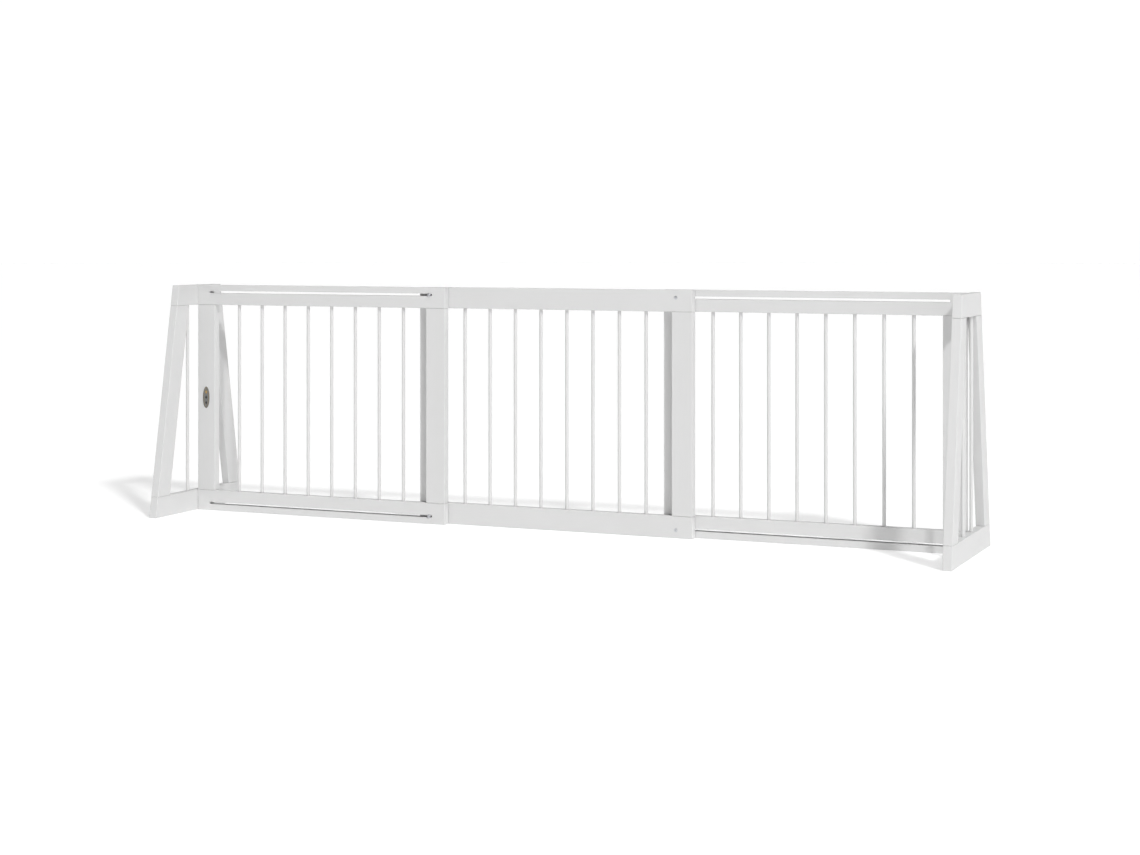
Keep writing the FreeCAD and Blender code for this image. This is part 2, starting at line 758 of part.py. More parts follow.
check_document()
os.makedirs(PARTS_FOLDER, exist_ok=True)
for thing in sub_parts:
    thing.Shape.exportStep(os.path.join(PARTS_FOLDER, thing.Label + ".step"))
print(f"{len(sub_parts)} pieces written")
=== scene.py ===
import json
import math

import bmesh
import bpy
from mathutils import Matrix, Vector

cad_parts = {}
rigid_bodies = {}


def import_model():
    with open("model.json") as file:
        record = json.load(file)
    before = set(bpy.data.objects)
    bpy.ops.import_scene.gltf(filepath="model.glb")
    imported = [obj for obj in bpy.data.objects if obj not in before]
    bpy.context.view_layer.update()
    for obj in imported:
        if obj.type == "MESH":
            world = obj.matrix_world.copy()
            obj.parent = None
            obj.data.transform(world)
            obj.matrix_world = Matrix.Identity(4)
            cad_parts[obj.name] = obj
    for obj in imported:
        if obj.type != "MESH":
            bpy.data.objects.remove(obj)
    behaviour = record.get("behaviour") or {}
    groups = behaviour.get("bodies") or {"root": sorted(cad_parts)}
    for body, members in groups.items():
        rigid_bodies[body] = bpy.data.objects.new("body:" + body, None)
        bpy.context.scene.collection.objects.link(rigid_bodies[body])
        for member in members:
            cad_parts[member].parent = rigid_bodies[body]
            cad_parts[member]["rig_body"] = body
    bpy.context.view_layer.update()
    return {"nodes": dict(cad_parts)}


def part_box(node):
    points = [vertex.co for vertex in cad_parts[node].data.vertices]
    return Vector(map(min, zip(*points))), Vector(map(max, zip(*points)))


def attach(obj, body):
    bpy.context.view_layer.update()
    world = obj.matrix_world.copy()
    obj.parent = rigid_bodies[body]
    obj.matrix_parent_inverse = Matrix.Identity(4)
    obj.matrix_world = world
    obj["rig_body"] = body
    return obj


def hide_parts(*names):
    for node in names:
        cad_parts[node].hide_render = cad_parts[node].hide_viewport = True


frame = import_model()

# All lengths are in metres.
MM = 0.001
TAU = 2 * math.pi


# ---------------------------------------------------------------- shader expressions

class Value:
    """A shader socket that takes part in Python sums. Every sum adds one Math node."""

    def __init__(self, material, socket):
        self.material = material
        self.socket = socket

    def math(self, operation, first, second=None):
        inputs = {0: first}
        if second is not None:
            inputs[1] = second
        return self.material.node("ShaderNodeMath", {"operation": operation}, inputs)

    def __add__(self, other):
        return self.math("ADD", self, other)

    def __radd__(self, other):
        return self.math("ADD", other, self)

    def __sub__(self, other):
        return self.math("SUBTRACT", self, other)

    def __mul__(self, other):
        return self.math("MULTIPLY", self, other)

    def __pow__(self, other):
        return self.math("POWER", self, other)

    def __abs__(self):
        return self.math("ABSOLUTE", self)

    def rise(self, start, end):
        """0 below start, 1 above end, smooth between; with start above end it falls instead."""
        settings = {"interpolation_type": "SMOOTHSTEP"}
        inputs = {"Value": self, "From Min": start, "From Max": end}
        return self.material.node("ShaderNodeMapRange", settings, inputs)


class Finish:
    """A material under construction: a Principled surface and the nodes that feed it."""

    def __init__(self, name, **constants):
        self.material = bpy.data.materials.new(name)
        self.material.use_nodes = True
        self.tree = self.material.node_tree
        self.surface = self.tree.nodes["Principled BSDF"]
        for socket, value in constants.items():
            self.surface.inputs[socket.replace("_", " ")].default_value = value

    def node(self, kind, settings, inputs, output=0):
        """Adds any node: settings first, then the values or links of its sockets."""
        made = self.tree.nodes.new(kind)
        for name, value in settings.items():
            if name == "stops":
                fill_ramp(made.color_ramp, value)
            else:
                setattr(made, name, value)
        for name, value in inputs.items():
            self.feed(find_socket(made.inputs, name), value)
        return Value(self, find_socket(made.outputs, output))

    def feed(self, socket, value):
        if isinstance(value, Value):
            self.tree.links.new(value.socket, socket)
        else:
            socket.default_value = value

    def set(self, socket, value):
        """Feeds a varying value to the surface."""
        self.feed(self.surface.inputs[socket], value)

    def place(self):
        return self.node("ShaderNodeTexCoord", {}, {}, "Object")

    def split(self, vector):
        made = self.node("ShaderNodeSeparateXYZ", {}, {0: vector})
        sockets = made.socket.node.outputs
        return [Value(self, sockets[axis]) for axis in range(3)]

    def vector(self, x, y, z):
        return self.node("ShaderNodeCombineXYZ", {}, {0: x, 1: y, 2: z})

    def stretch(self, vector, scale):
        settings = {"vector_type": "POINT"}
        return self.node("ShaderNodeMapping", settings, {"Vector": vector, "Scale": scale})

    def noise(self, vector, scale, detail, roughness, distortion=0.0):
        """Noise from 0 to 1, with scale in waves per metre."""
        inputs = {"Vector": vector, "Scale": scale, "Detail": detail,
                  "Roughness": roughness, "Distortion": distortion}
        return self.node("ShaderNodeTexNoise", {}, inputs)

    def blend(self, factor, first, second):
        """Mixes two colours."""
        inputs = {"Factor": factor, "A": first, "B": second}
        return self.node("ShaderNodeMix", {"data_type": "RGBA"}, inputs, "Result")

    def bump(self, height, depth):
        """Relief of the given depth in metres where height goes from 0 to 1."""
        inputs = {"Height": height, "Distance": depth, "Strength": 1.0}
        self.set("Normal", self.node("ShaderNodeBump", {}, inputs))


def find_socket(sockets, name):
    """A socket by its number, or the one in use by that name."""
    if isinstance(name, int):
        return sockets[name]
    return next(socket for socket in sockets if socket.name == name and socket.enabled)


def fill_ramp(ramp, stops):
    while len(ramp.elements) < len(stops):
        ramp.elements.new(1.0)
    for element, (position, colour) in zip(ramp.elements, stops):
        element.position = position
        element.color = colour


def colour(red, green, blue):
    return (red, green, blue, 1.0)


# ---------------------------------------------------------------- wood finishes

PAINT_WHITE = colour(0.66, 0.66, 0.659)
PAINT_THIN = colour(0.64, 0.64, 0.637)
PAINTED_SEAM_SHADE = colour(0.2, 0.2, 0.195)     # painted shade: the bottom of the groove where two boards meet, drawn dark as if in shadow
# how far the painted shade in a seam reaches from a board's end
SEAM_SHADE_REACH = 0.75 * MM
BEECH_LIGHT = colour(0.62, 0.42, 0.25)
BEECH_DARK = colour(0.48, 0.29, 0.15)
SATIN = 0.36             # roughness of the paint
PAINT_RELIEF = 0.05 * MM
BEECH_RELIEF = 0.06 * MM
FIBRE_STRETCH = 0.04     # how much slower the fibres change along the board than across it


def paint_over(finish, fibres, board_end=None):
    """Satin white lacquer: fibres show faintly through it, and its skin is slightly dimpled.

    Painted shade darkens the board where board_end, the distance to its end, is next to nothing, as
    if the groove at the joint were in shadow.
    """
    spot = finish.place()
    grain = finish.noise(fibres, scale=420, detail=4, roughness=0.6, distortion=0.4)
    pores = finish.noise(fibres, scale=1500, detail=2, roughness=0.5)
    dimples = finish.noise(spot, scale=900, detail=2, roughness=0.5)
    cloud = finish.noise(spot, scale=6, detail=3, roughness=0.55)
    thin = (grain.rise(0.45, 0.75) * 0.5) + (cloud.rise(0.4, 0.7) * 0.35)
    white = finish.blend(thin, PAINT_WHITE, PAINT_THIN)
    # painted shade in the groove at the board's end
    if board_end is not None:
        seam_shade = board_end.rise(SEAM_SHADE_REACH, 0.3 * SEAM_SHADE_REACH)
        white = finish.blend(seam_shade, white, PAINTED_SEAM_SHADE)
    finish.set("Base Color", white)
    finish.set("Roughness", SATIN + (cloud * 0.08) + (pores.rise(0.55, 0.8) * 0.06))
    relief = (grain * 0.55) + (pores.rise(0.4, 0.7) * 0.25) + (dimples * 0.2)
    finish.bump(relief, PAINT_RELIEF)
    return finish.material


def painted_wood(name, stretch, axis=None, middle=0, half_length=0):
    """Paint on boards and bars whose fibres run along X, Y or Z.

    Boards that butt against others end half_length to either side of the middle along the axis;
    painted shade darkens them there.
    """
    finish = Finish(name, IOR=1.47)
    fibres = finish.stretch(finish.place(), stretch)
    if axis is None:
        return paint_over(finish, fibres)
    along = finish.split(finish.place())[axis]
    return paint_over(finish, fibres, abs(abs(along - middle) - half_length))


def painted_leg(name, lean, middle, half_length):
    """Paint on the legs, whose fibres lean inwards with the board on either side of the foot."""
    finish = Finish(name, IOR=1.47)
    x, y, z = finish.split(finish.place())
    upright = abs(y) + (z * lean)
    fibres = finish.vector(x, upright, z * FIBRE_STRETCH)
    # painted shade darkens the leg's ends, where it meets the foot rail and the cap
    return paint_over(finish, fibres, abs(abs(z - middle) - half_length))


def raw_beech(name, stretch):
    """Bare dowel wood with fine pores and short dark flecks."""
    finish = Finish(name, IOR=1.5)
    fibres = finish.stretch(finish.place(), stretch)
    grain = finish.noise(fibres, scale=900, detail=4, roughness=0.6, distortion=0.6)
    flecks = finish.noise(fibres, scale=2600, detail=1, roughness=0.5).rise(0.62, 0.72)
    tone = (grain.rise(0.3, 0.7) * 0.7) + (flecks * 0.3)
    finish.set("Base Color", finish.blend(tone, BEECH_LIGHT, BEECH_DARK))
    finish.set("Roughness", 0.58 + (grain * 0.14))
    finish.bump(grain - (flecks * 0.4), BEECH_RELIEF)
    return finish.material


def paint_the_boards():
    """Gives every painted board and spindle its paint, by the direction of its fibres."""
    foot_rail_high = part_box("left_foot_rail")[1]
    cap_low, cap_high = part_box("left_foot_cap")
    lean = (foot_rail_high.y - cap_high.y) / cap_low.z
    mid_height = (foot_rail_high.z + cap_low.z) / 2
    half_opening = (cap_low.z - foot_rail_high.z) / 2
    slow = FIBRE_STRETCH
    along_x, along_z = 0, 2
    upright_span = (along_z, mid_height, half_opening)
    # Rails, stiles, spindles and legs get painted shade where they meet other boards; the foot
    # boards get none.
    rails = painted_wood("paint_on_rails", (slow, 1, 1), along_x, 0, abs(cap_high.x))
    cross_boards = painted_wood("paint_on_foot_boards", (1, slow, 1))
    uprights = painted_wood("paint_on_stiles", (1, 1, slow), *upright_span)
    # The spindles get the same painted shade as a dark ring at both ends, where they go into the
    # rails.
    bars = painted_wood("paint_on_spindles", (1, 1, slow), *upright_span)
    legs = painted_leg("paint_on_legs", lean, mid_height, half_opening)
    for name, node in frame["nodes"].items():
        if name.endswith("_leg"):
            coat(node, legs)
        elif name.endswith(("foot_cap", "foot_rail")):
            coat(node, cross_boards)
        elif name.endswith("_rail"):
            coat(node, rails)
        elif name.endswith("_stile"):
            coat(node, uprights)
        elif "_spindle" in name:
            coat(node, bars)


def coat(piece, *materials):
    """Puts materials in a piece's slots."""
    while len(piece.material_slots) < len(materials):
        piece.data.materials.append(None)
    for index, material in enumerate(materials):
        piece.material_slots[index].material = material


# ---------------------------------------------------------------- metal and nylon finishes

ZINC = colour(0.62, 0.63, 0.65)
ZINC_SHADE = colour(0.45, 0.46, 0.49)
BRASS = colour(0.72, 0.52, 0.22)
BRASS_SHADE = colour(0.5, 0.34, 0.13)
NYLON = colour(0.8, 0.79, 0.75)
NYLON_SHADE = colour(0.72, 0.71, 0.66)
PEWTER = colour(0.3, 0.3, 0.29)
PEWTER_RIM = colour(0.17, 0.17, 0.16)
BLACKENED = colour(0.03, 0.03, 0.03)
GOLD = colour(0.75, 0.52, 0.2)
GOLD_SHADE = colour(0.42, 0.27, 0.09)
TURNING_RELIEF = 0.015 * MM
NYLON_RELIEF = 0.02 * MM
CAST_RELIEF = 0.03 * MM
BRUSHING_STRETCH = 0.06     # how much slower the brushing changes upwards than across


def bolt_radius(finish, middle_x, half_span, mid_height, half_spread):
    """Distance from the nearest of four bolt axes, which stand along Y at a rectangle's corners."""
    x, _, z = finish.split(finish.place())
    across = abs(x - middle_x) - half_span
    up = abs(z - mid_height) - half_spread
    return (across * across + up * up) ** 0.5


def turned_metal(name, light, dark, axes, roughness):
    """Metal with fine rings from the lathe and a few dull patches."""
    finish = Finish(name, Metallic=1.0)
    radius = bolt_radius(finish, *axes)
    turning = finish.vector(radius, 0.0, 0.0)
    rings = finish.noise(turning, scale=5200, detail=2, roughness=0.6)
    patches = finish.noise(finish.place(), scale=320, detail=3, roughness=0.6)
    dull = (patches.rise(0.45, 0.75) * 0.6) + (rings * 0.25)
    finish.set("Base Color", finish.blend(dull, light, dark))
    finish.set("Roughness", roughness + (patches * 0.16) + (rings * 0.06))
    finish.bump((rings * 0.7) + (patches * 0.3), TURNING_RELIEF)
    return finish.material


def moulded_nylon(name):
    """Natural nylon with a fine moulded skin."""
    finish = Finish(name, IOR=1.53)
    cloud = finish.noise(finish.place(), scale=240, detail=3, roughness=0.5)
    skin = finish.noise(finish.place(), scale=2400, detail=2, roughness=0.5)
    finish.set("Base Color", finish.blend(cloud.rise(0.35, 0.7), NYLON, NYLON_SHADE))
    finish.set("Roughness", 0.42 + (skin * 0.12))
    finish.bump(skin, NYLON_RELIEF)
    return finish.material


def satin_cast(name, face, ground, ground_y, face_y, roughness):
    """Cast metal brushed upright, with one tone on its raised faces and another on its ground."""
    finish = Finish(name, Metallic=1.0)
    spot = finish.place()
    _, depth, _ = finish.split(spot)
    recess = depth.rise(face_y, ground_y)
    upright = finish.stretch(spot, (1, 1, BRUSHING_STRETCH))
    brushed = finish.noise(upright, scale=2600, detail=3, roughness=0.6)
    cast = finish.noise(spot, scale=900, detail=3, roughness=0.6)
    shade = (recess * 0.85) + (brushed * 0.18)
    finish.set("Base Color", finish.blend(shade, face, ground))
    finish.set("Roughness", roughness + (recess * 0.2) + (brushed * 0.12))
    finish.bump((brushed * 0.5) + (cast * 0.5), CAST_RELIEF)
    return finish.material


# ---------------------------------------------------------------- bench work

TOUCHING = 0.01 * MM      # points closer than this lie at the same place
ROUND_SIDES = 64


def select_only(piece):
    bpy.ops.object.select_all(action="DESELECT")
    piece.select_set(True)
    bpy.context.view_layer.objects.active = piece


def cylinder(name, radius, low, high, sides=ROUND_SIDES, middle=(0, 0)):
    """An upright round bar between two heights."""
    bpy.ops.object.select_all(action="DESELECT")
    spot = (middle[0], middle[1], (low + high) / 2)
    bpy.ops.mesh.primitive_cylinder_add(vertices=sides, radius=radius, depth=high - low,
                                        location=spot)
    piece = bpy.context.active_object
    piece.name = name
    set_in_mesh(piece)
    return piece


def cone(name, low_radius, high_radius, low, high, sides=ROUND_SIDES):
    bpy.ops.object.select_all(action="DESELECT")
    bpy.ops.mesh.primitive_cone_add(vertices=sides, radius1=low_radius, radius2=high_radius,
                                    depth=high - low, location=(0, 0, (low + high) / 2))
    piece = bpy.context.active_object
    piece.name = name
    set_in_mesh(piece)
    return piece


def set_in_mesh(piece):
    """Moves a piece's place, turn and scale into its mesh."""
    select_only(piece)
    bpy.ops.object.transform_apply(location=True, rotation=True, scale=True)


def open_faces(piece, test):
    """Edit mode with only the faces selected that pass the test."""
    select_only(piece)
    bpy.ops.object.mode_set(mode="EDIT")
    bpy.ops.mesh.select_mode(type="FACE")
    bpy.ops.mesh.select_all(action="DESELECT")
    pick(piece, "faces", test)


def open_edges(piece, test):
    """Edit mode with only the edges selected that pass the test."""
    select_only(piece)
    bpy.ops.object.mode_set(mode="EDIT")
    bpy.ops.mesh.select_mode(type="EDGE")
    bpy.ops.mesh.select_all(action="DESELECT")
    pick(piece, "edges", test)


def pick(piece, kind, test):
    mesh = bmesh.from_edit_mesh(piece.data)
    for item in getattr(mesh, kind):
        if test(item):
            item.select_set(True)
    bmesh.update_edit_mesh(piece.data)


def close():
    bpy.ops.object.mode_set(mode="OBJECT")


def middle_of(item):
    """The middle of an edge or face."""
    total = Vector((0, 0, 0))
    for corner in item.verts:
        total += corner.co
    return total / len(item.verts)


def edge_at_height(height):
    """Test for edges that lie level at a height."""
    return lambda edge: all(abs(corner.co.z - height) < TOUCHING for corner in edge.verts)


def facing_up(face):
    return face.normal.z > 0.99


def facing_down(face):
    return face.normal.z < -0.99


def bevel(offset, segments):
    bpy.ops.mesh.bevel(offset=offset, offset_type="OFFSET", segments=segments, profile=0.5,
                       affect="EDGES", clamp_overlap=True)


def apply_modifier(piece, kind, **settings):
    select_only(piece)
    modifier = piece.modifiers.new(kind.lower(), kind)
    for name, value in settings.items():
        setattr(modifier, name, value)
    bpy.ops.object.modifier_apply(modifier=modifier.name)


def combine(piece, tool, operation):
    """Unites, cuts or intersects a piece with a tool, and removes the tool."""
    apply_modifier(piece, "BOOLEAN", operation=operation, object=tool, solver="EXACT")
    bpy.data.objects.remove(tool)
    return piece


def tidy_mesh(piece):
    """Merges doubles and turns every face outwards."""
    select_only(piece)
    bpy.ops.object.mode_set(mode="EDIT")
    bpy.ops.mesh.select_all(action="SELECT")
    bpy.ops.mesh.remove_doubles(threshold=0.002 * MM)
    bpy.ops.mesh.normals_make_consistent(inside=False)
    close()


def smooth(piece, angle=35):
    select_only(piece)
    bpy.ops.object.shade_smooth_by_angle(angle=math.radians(angle))


def soften(piece, width, segments=2, angle=40):
    """Rounds all sharp edges a little."""
    apply_modifier(piece, "BEVEL", width=width, segments=segments, limit_method="ANGLE",
                   angle_limit=math.radians(angle), harden_normals=False)


def hex_tool(name, across_flats, low, high):
    """A hexagonal bar with a flat towards +X."""
    bar = cylinder(name, across_flats / math.sqrt(3), low, high, sides=6)
    bar.rotation_euler.z = math.pi / 6
    set_in_mesh(bar)
    return bar


RIDGE_ROOT = 0.12      # how deep a ridge sits in its core, as a part of its height
RIDGE_CREST = 0.07     # half the width of a ridge's crest, as a part of the pitch
STEPS_PER_TURN = 28


def thread_ridge(name, core_radius, crest_radius, pitch, low, high, flank=0.44):
    """The helical ridge of a screw thread, closed at both ends and rooted in the core.

    The flank is half the width of the ridge's root, as a part of the pitch.
    """
    bpy.ops.object.select_all(action="DESELECT")
    root_radius = core_radius - RIDGE_ROOT * (crest_radius - core_radius)
    middle_radius = (root_radius + crest_radius) / 2
    middle_height = low + pitch / 2
    turns = (high - low) / pitch - 1
    bpy.ops.mesh.primitive_plane_add(size=1, rotation=(math.pi / 2, 0, 0),
                                     location=(middle_radius, 0, middle_height))
    piece = bpy.context.active_object
    piece.name = name
    piece.scale = (crest_radius - root_radius, 2 * flank * pitch, 1)
    set_in_mesh(piece)
    open_edges(piece, lambda edge: all(corner.co.x > middle_radius for corner in edge.verts))
    bpy.ops.transform.resize(value=(1, 1, RIDGE_CREST / flank),
                             center_override=(0, 0, middle_height))
    close()
    steps = int(STEPS_PER_TURN * turns)
    apply_modifier(piece, "SCREW", axis="Z", angle=TAU * turns, screw_offset=pitch * turns,
                   steps=steps, render_steps=steps,
                   use_merge_vertices=False, use_smooth_shade=False)
    select_only(piece)
    bpy.ops.object.mode_set(mode="EDIT")
    bpy.ops.mesh.select_all(action="SELECT")
    bpy.ops.mesh.fill_holes(sides=4)
    bpy.ops.mesh.normals_make_consistent(inside=False)
    close()
    return piece


def put(piece, spot, turn=(0, 0, 0)):
    """Sets a finished bench piece in its place on the gate."""
    piece.rotation_euler = turn
    piece.location = spot
    set_in_mesh(piece)
    return piece


def copy_of(piece, name):
    twin = piece.copy()
    twin.data = piece.data.copy()
    twin.name = name
    bpy.context.scene.collection.objects.link(twin)
    return twin


# ---------------------------------------------------------------- places read from the frame

def solids_of(name):
    """The boxes of the separate solids in a CAD node, from left to right, then from low to high."""
    loose = copy_of(frame["nodes"][name], name + "_loose")
    loose.hide_viewport = False
    select_only(loose)
    bpy.ops.object.mode_set(mode="EDIT")
    bpy.ops.mesh.select_all(action="SELECT")
    bpy.ops.mesh.remove_doubles(threshold=TOUCHING)
    bpy.ops.mesh.separate(type="LOOSE")
    close()
    boxes = []
    for part in list(bpy.context.selected_objects):
        corners = [corner.co for corner in part.data.vertices]
        low = Vector([min(corner[axis] for corner in corners) for axis in range(3)])
        high = Vector([max(corner[axis] for corner in corners) for axis in range(3)])
        boxes.append((low, high))
        bpy.data.objects.remove(part)
    return sorted(boxes, key=lambda box: [round(value, 4) for value in box[0]])


def install(piece, node, slot, *materials):
    """Paints a piece, sets it on the body of the CAD node it stands for, and hides that node."""
    coat(piece, *materials)
    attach(piece, frame["nodes"][node]["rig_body"])
    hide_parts(node)


def install_on_axes(model, node, slot, names, start, *materials):
    """Sets a copy of a bench piece on each solid of a node.

    Its +Z turns to +Y, and its z = 0 lies at start behind the solid's front.
    """
    for (low, high), name in zip(solids_of(node), names):
        middle = (low + high) / 2
        twin = put(copy_of(model, name), (middle.x, low.y + start, middle.z), BACKWARDS)
        install(twin, node, slot, *materials)
    bpy.data.objects.remove(model)


BACKWARDS = (-math.pi / 2, 0, 0)     # turns a bench piece's +Z to +Y
FORWARDS = (math.pi / 2, 0, 0)       # turns a bench piece's +Z to -Y, with its +Y upwards


# ---------------------------------------------------------------- bolts, nuts, washers and inserts

HEAD_CLEARANCE = 0.3 * MM
HEX_KEY = 4 * MM
HEX_DEPTH = 1.8 * MM
THREAD_PITCH = 1.0 * MM
THREAD_CORE = 2.4 * MM
THREAD_CREST = 2.96 * MM
THREAD_LENGTH = 24 * MM
BORE_RADIUS = 3.1 * MM
OVERLAP = 0.2 * MM            # how far a shank reaches into its head
DRILL_POINT = 0.7 * MM
HEAD_CROWN = 0.93             # the part of a raised head's height that is rounded
SUNK_RIM = 0.35 * MM
NUT_HEXAGON = 0.78            # height of the nut's hexagon, as a part of the nut's
NUT_COLLAR = 0.44             # radius of the nut's collar, as a part of the nut's width
NUT_SEAT_RADIUS = 3.75 * MM
GRIP_OUTER = 3.7 * MM
GRIP_INNER = 3.02 * MM
GRIP_START = 0.79             # where the nylon ring starts, as a part of the nut's height
GRIP_HEIGHT = 0.17            # and how high it is
INSERT_RIDGE = 0.75 * MM
INSERT_PITCH = 2.4 * MM
INSERT_FLANK = 0.3


def cut_hex_socket(head, top, way):
    """A hexagonal key socket with a drill point, cut from the top of a head towards way."""
    reach = 1 * MM
    low, high = sorted((top - way * reach, top + way * HEX_DEPTH))
    combine(head, hex_tool("socket_tool", HEX_KEY, low, high), "DIFFERENCE")
    bottom = top + way * (HEX_DEPTH - 0.1 * MM)
    drill = cone("drill_tool", 0.45 * HEX_KEY, 0.1 * MM, bottom, bottom + DRILL_POINT, sides=32)
    combine(head, drill, "DIFFERENCE")


def threaded_shank(name, start, tip):
    """A plain shank that goes on as a screw thread and ends in a chamfered point."""
    thread_start = tip - THREAD_LENGTH
    shank = cylinder(name, THREAD_CORE, start, tip, sides=40)
    open_edges(shank, edge_at_height(tip))
    bevel(0.7 * MM, 1)
    close()
    plain = cylinder("plain_shank", THREAD_CREST, start, thread_start, sides=40)
    open_edges(plain, edge_at_height(thread_start))
    bevel(0.35 * MM, 2)
    close()
    combine(shank, plain, "UNION")
    ridge = thread_ridge("ridge", THREAD_CORE, THREAD_CREST, THREAD_PITCH,
                         thread_start - 0.6 * MM, tip - 0.7 * MM)
    return combine(shank, ridge, "UNION")


def button_bolt(radius, head_height, length):
    """Domed head below z = 0 with a key socket in its top, and a shank above it."""
    bolt = cylinder("button_bolt", radius, -head_height, 0, sides=72)
    open_edges(bolt, edge_at_height(-head_height))
    bevel(head_height * HEAD_CROWN, 12)
    close()
    open_edges(bolt, edge_at_height(0))
    bevel(0.15 * MM, 2)
    close()
    cut_hex_socket(bolt, -head_height, 1)
    combine(bolt, threaded_shank("shank", -OVERLAP, length), "UNION")
    tidy_mesh(bolt)
    smooth(bolt)
    return bolt


def sunk_bolt(radius, length):
    """Flat countersunk head whose face is at z = 0, with a thin straight rim."""
    cone_end = radius - THREAD_CREST
    bolt = cone("sunk_bolt", radius, THREAD_CREST, SUNK_RIM, cone_end, sides=72)
    open_faces(bolt, facing_down)
    bpy.ops.mesh.extrude_region_move(TRANSFORM_OT_translate={"value": (0, 0, -SUNK_RIM)})
    close()
    open_edges(bolt, edge_at_height(0))
    bevel(0.12 * MM, 2)
    close()
    cut_hex_socket(bolt, 0, 1)
    combine(bolt, threaded_shank("shank", cone_end - 0.3 * MM, length), "UNION")
    tidy_mesh(bolt)
    smooth(bolt)
    return bolt


def ring(name, outer, inner, low, high, sides=ROUND_SIDES):
    """A flat ring: both ends of a disc are inset, opened and bridged through."""
    piece = cylinder(name, outer, low, high, sides=sides)
    open_faces(piece, lambda face: abs(face.normal.z) > 0.99)
    bpy.ops.mesh.inset(thickness=outer - inner, depth=0)
    bpy.ops.mesh.delete(type="FACE")
    bpy.ops.mesh.select_mode(type="EDGE")
    bpy.ops.mesh.select_non_manifold()
    bpy.ops.mesh.bridge_edge_loops()
    close()
    return piece


def soft_ring(name, outer, inner, low, high, rounding):
    """A ring with rounded rims."""
    piece = ring(name, outer, inner, low, high)
    soften(piece, rounding, 3)
    tidy_mesh(piece)
    smooth(piece)
    return piece


def lock_nut(width, height):
    """A chamfered hexagon with a round collar, opened for the bolt and for the nylon ring."""
    hexagon_height = NUT_HEXAGON * height
    corner_radius = width / math.sqrt(3)
    nut = hex_tool("lock_nut", width, 0, hexagon_height)
    turned = cylinder("nut_chamfer_tool", corner_radius * 1.001, 0, hexagon_height, sides=72)
    open_edges(turned, lambda edge: edge_at_height(0)(edge) or edge_at_height(hexagon_height)(edge))
    bevel(0.5 * MM, 1)
    close()
    combine(nut, turned, "INTERSECT")
    collar = cylinder("nut_collar", NUT_COLLAR * width, hexagon_height - 0.4 * MM, height,
                      sides=72)
    open_edges(collar, edge_at_height(height))
    bevel(0.6 * MM, 5)
    close()
    combine(nut, collar, "UNION")
    bore = cylinder("nut_bore_tool", BORE_RADIUS, -1 * MM, height + 1 * MM, sides=48)
    combine(nut, bore, "DIFFERENCE")
    seat = cylinder("nut_seat_tool", NUT_SEAT_RADIUS, hexagon_height, height + 1 * MM, sides=48)
    combine(nut, seat, "DIFFERENCE")
    tidy_mesh(nut)
    smooth(nut, 30)
    return nut


def brass_insert(radius, length):
    """A sleeve with a coarse wood thread outside and a hexagonal drive in its mouth."""
    core = radius - INSERT_RIDGE
    sleeve = ring("insert", core, BORE_RADIUS, 0, length, sides=56)
    open_edges(sleeve, edge_at_height(length))
    bevel(0.3 * MM, 1)
    close()
    ridge = thread_ridge("ridge", core, radius, INSERT_PITCH, 0.8 * MM, length - 0.6 * MM,
                         INSERT_FLANK)
    combine(sleeve, ridge, "UNION")
    tidy_mesh(sleeve)
    smooth(sleeve)
    return sleeve


def bolt_axes():
    """Middle X, half span in X, middle height and half spread in Z of the four bolts."""
    raised, flush = [[(low + high) / 2 for low, high in solids_of(f"{side}_slide_bolts")]
                     for side in ("front", "rear")]
    return ((flush[0].x + raised[0].x) / 2, (flush[0].x - raised[0].x) / 2,
            (raised[1].z + raised[0].z) / 2, (raised[1].z - raised[0].z) / 2)


def lower_and_upper(name):
    return [f"{name}_lower", f"{name}_upper"]


def first_of(node):
    """Radius and length of a node's first solid, which stands along Y."""
    low, high = solids_of(node)[0]
    return (high.x - low.x) / 2, high.y - low.y


def make_slide_hardware():
    """Everything that the sliding panels run on, in its CAD nodes' places."""
    axes = bolt_axes()
    steel = turned_metal("bright_zinc", ZINC, ZINC_SHADE, axes, 0.24)
    brass = turned_metal("turned_brass", BRASS, BRASS_SHADE, axes, 0.3)
    nylon = moulded_nylon("natural_nylon")
    make_bolts(steel)
    make_inserts(brass)
    make_rings(steel, nylon)
    make_nuts(steel, nylon)


def make_bolts(steel):
    low, high = solids_of("front_slide_bolts")[0]
    head_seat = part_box("front_top_rail")[0].y - HEAD_CLEARANCE
    head_height = head_seat - low.y
    bolt = button_bolt((high.x - low.x) / 2, head_height, high.y - head_seat)
    install_on_axes(bolt, "front_slide_bolts", "zinc_steel", lower_and_upper("button_bolt"),
                    head_height, steel)
    bolt = sunk_bolt(*first_of("rear_slide_bolts"))
    install_on_axes(bolt, "rear_slide_bolts", "zinc_steel", lower_and_upper("sunk_bolt"), 0, steel)


def make_inserts(brass):
    insert = brass_insert(*first_of("threaded_inserts"))
    install_on_axes(insert, "threaded_inserts", "insert_brass", lower_and_upper("insert"), 0, brass)


def make_rings(steel, nylon):
    radius, length = first_of("slide_washers")
    washer = soft_ring("washer", radius, BORE_RADIUS, 0, length, 0.25 * MM)
    install_on_axes(washer, "slide_washers", "zinc_steel", lower_and_upper("washer"), 0, steel)

    radius, length = first_of("spacer_washers")
    spacer = soft_ring("spacer", radius, BORE_RADIUS, 0, length, 0.35 * MM)
    names = lower_and_upper("front_spacer") + lower_and_upper("rear_spacer")
    install_on_axes(spacer, "spacer_washers", "spacer_nylon", names, 0, nylon)


